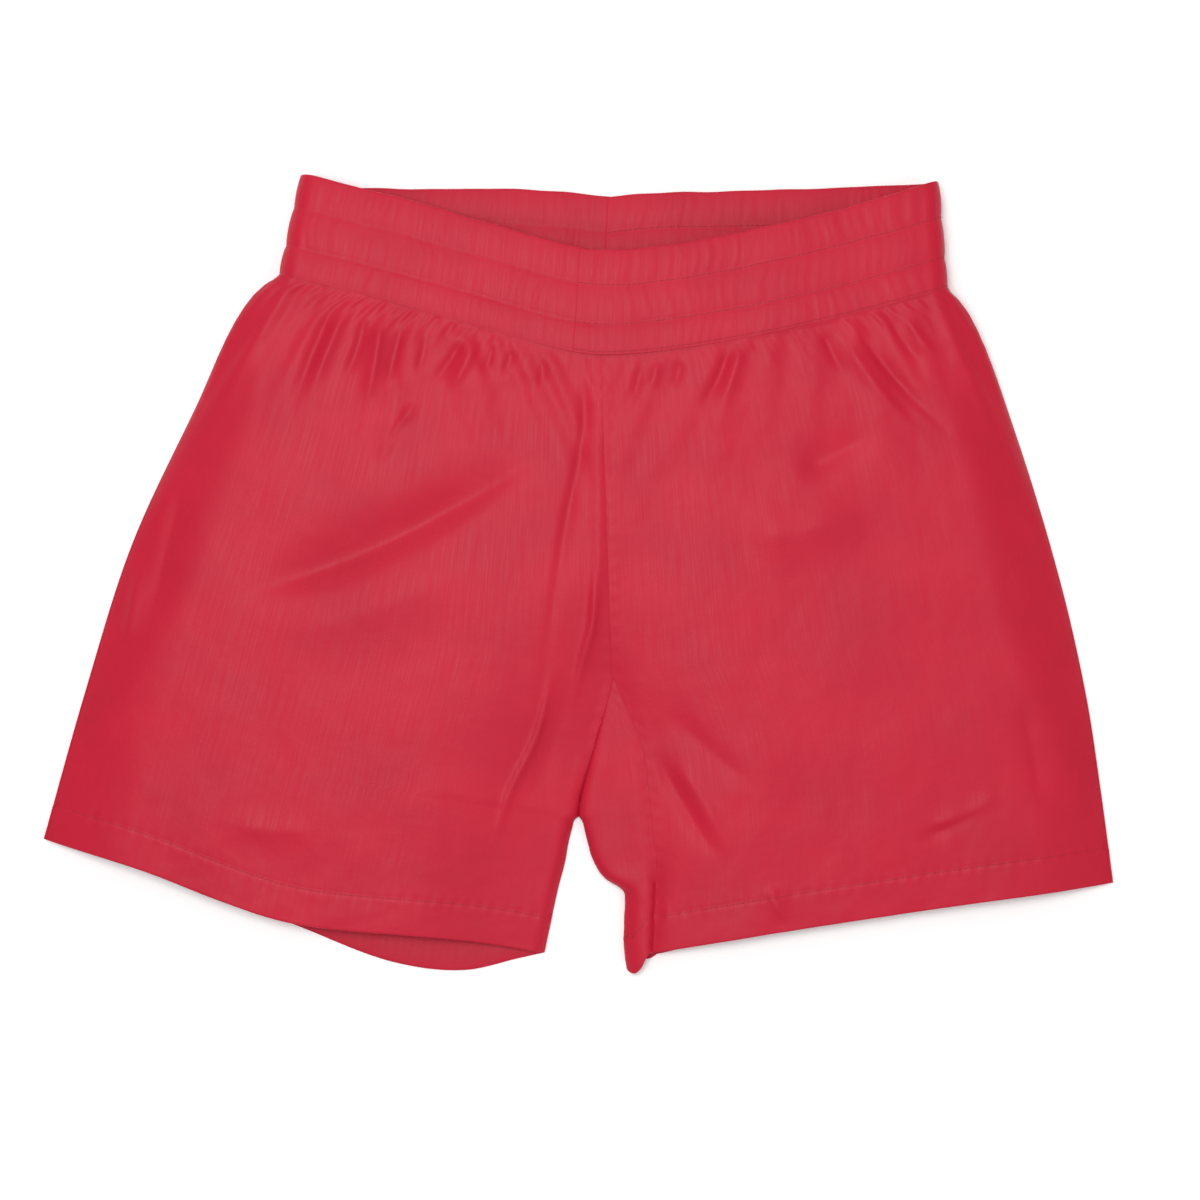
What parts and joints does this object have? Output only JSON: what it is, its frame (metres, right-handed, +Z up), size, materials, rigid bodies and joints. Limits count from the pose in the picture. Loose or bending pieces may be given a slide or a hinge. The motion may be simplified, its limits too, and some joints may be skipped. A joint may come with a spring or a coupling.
{
  "type": "boxing shorts",
  "caption": "Wide-legged boxing shorts in plain satin cloth with a broad elasticated waistband, laid flat, front up.",
  "frame": {"origin": "under the middle of the shorts' box, on the surface they lie on", "axes": "+X across the shorts to the side that lies lower at the waist, +Y from the hems to the waist, +Z up from the surface and out of the front"},
  "size_m": [0.5662, 0.4194, 0.0224],
  "materials": {
    "satin_cloth": "plain red polyester satin with a soft sheen",
    "thread": "red polyester sewing thread",
    "elastic": "off-white woven elastic",
    "label": "blank white satin ribbon"
  },
  "bodies": {
    "left_half": {"front_left_panel": "satin_cloth", "back_left_panel": "satin_cloth", "waistband_left": "satin_cloth", "waist_elastic_left": "elastic", "waist_seam_stitches_left": "thread", "lower_channel_stitches_left": "thread", "upper_channel_stitches_left": "thread", "side_seam_overlock_left": "thread", "inseam_overlock_left": "thread", "hem_stitches_front_left": "thread", "hem_stitches_back_left": "thread", "front_rise_overlock": "thread", "back_rise_overlock": "thread", "care_label": "label"},
    "right_half": {"front_right_panel": "satin_cloth", "back_right_panel": "satin_cloth", "waistband_right": "satin_cloth", "waist_elastic_right": "elastic", "waist_seam_stitches_right": "thread", "lower_channel_stitches_right": "thread", "upper_channel_stitches_right": "thread", "side_seam_overlock_right": "thread", "inseam_overlock_right": "thread", "hem_stitches_front_right": "thread", "hem_stitches_back_right": "thread"}
  },
  "joints": [
    {"name": "centre_fold", "type": "hinge", "parent": "left_half", "child": "right_half", "pos_m": [-0.00009, -0.12772, 0.023], "axis": [-0.0488, -0.9988, 0], "range_deg": [0, 180]}
  ]
}
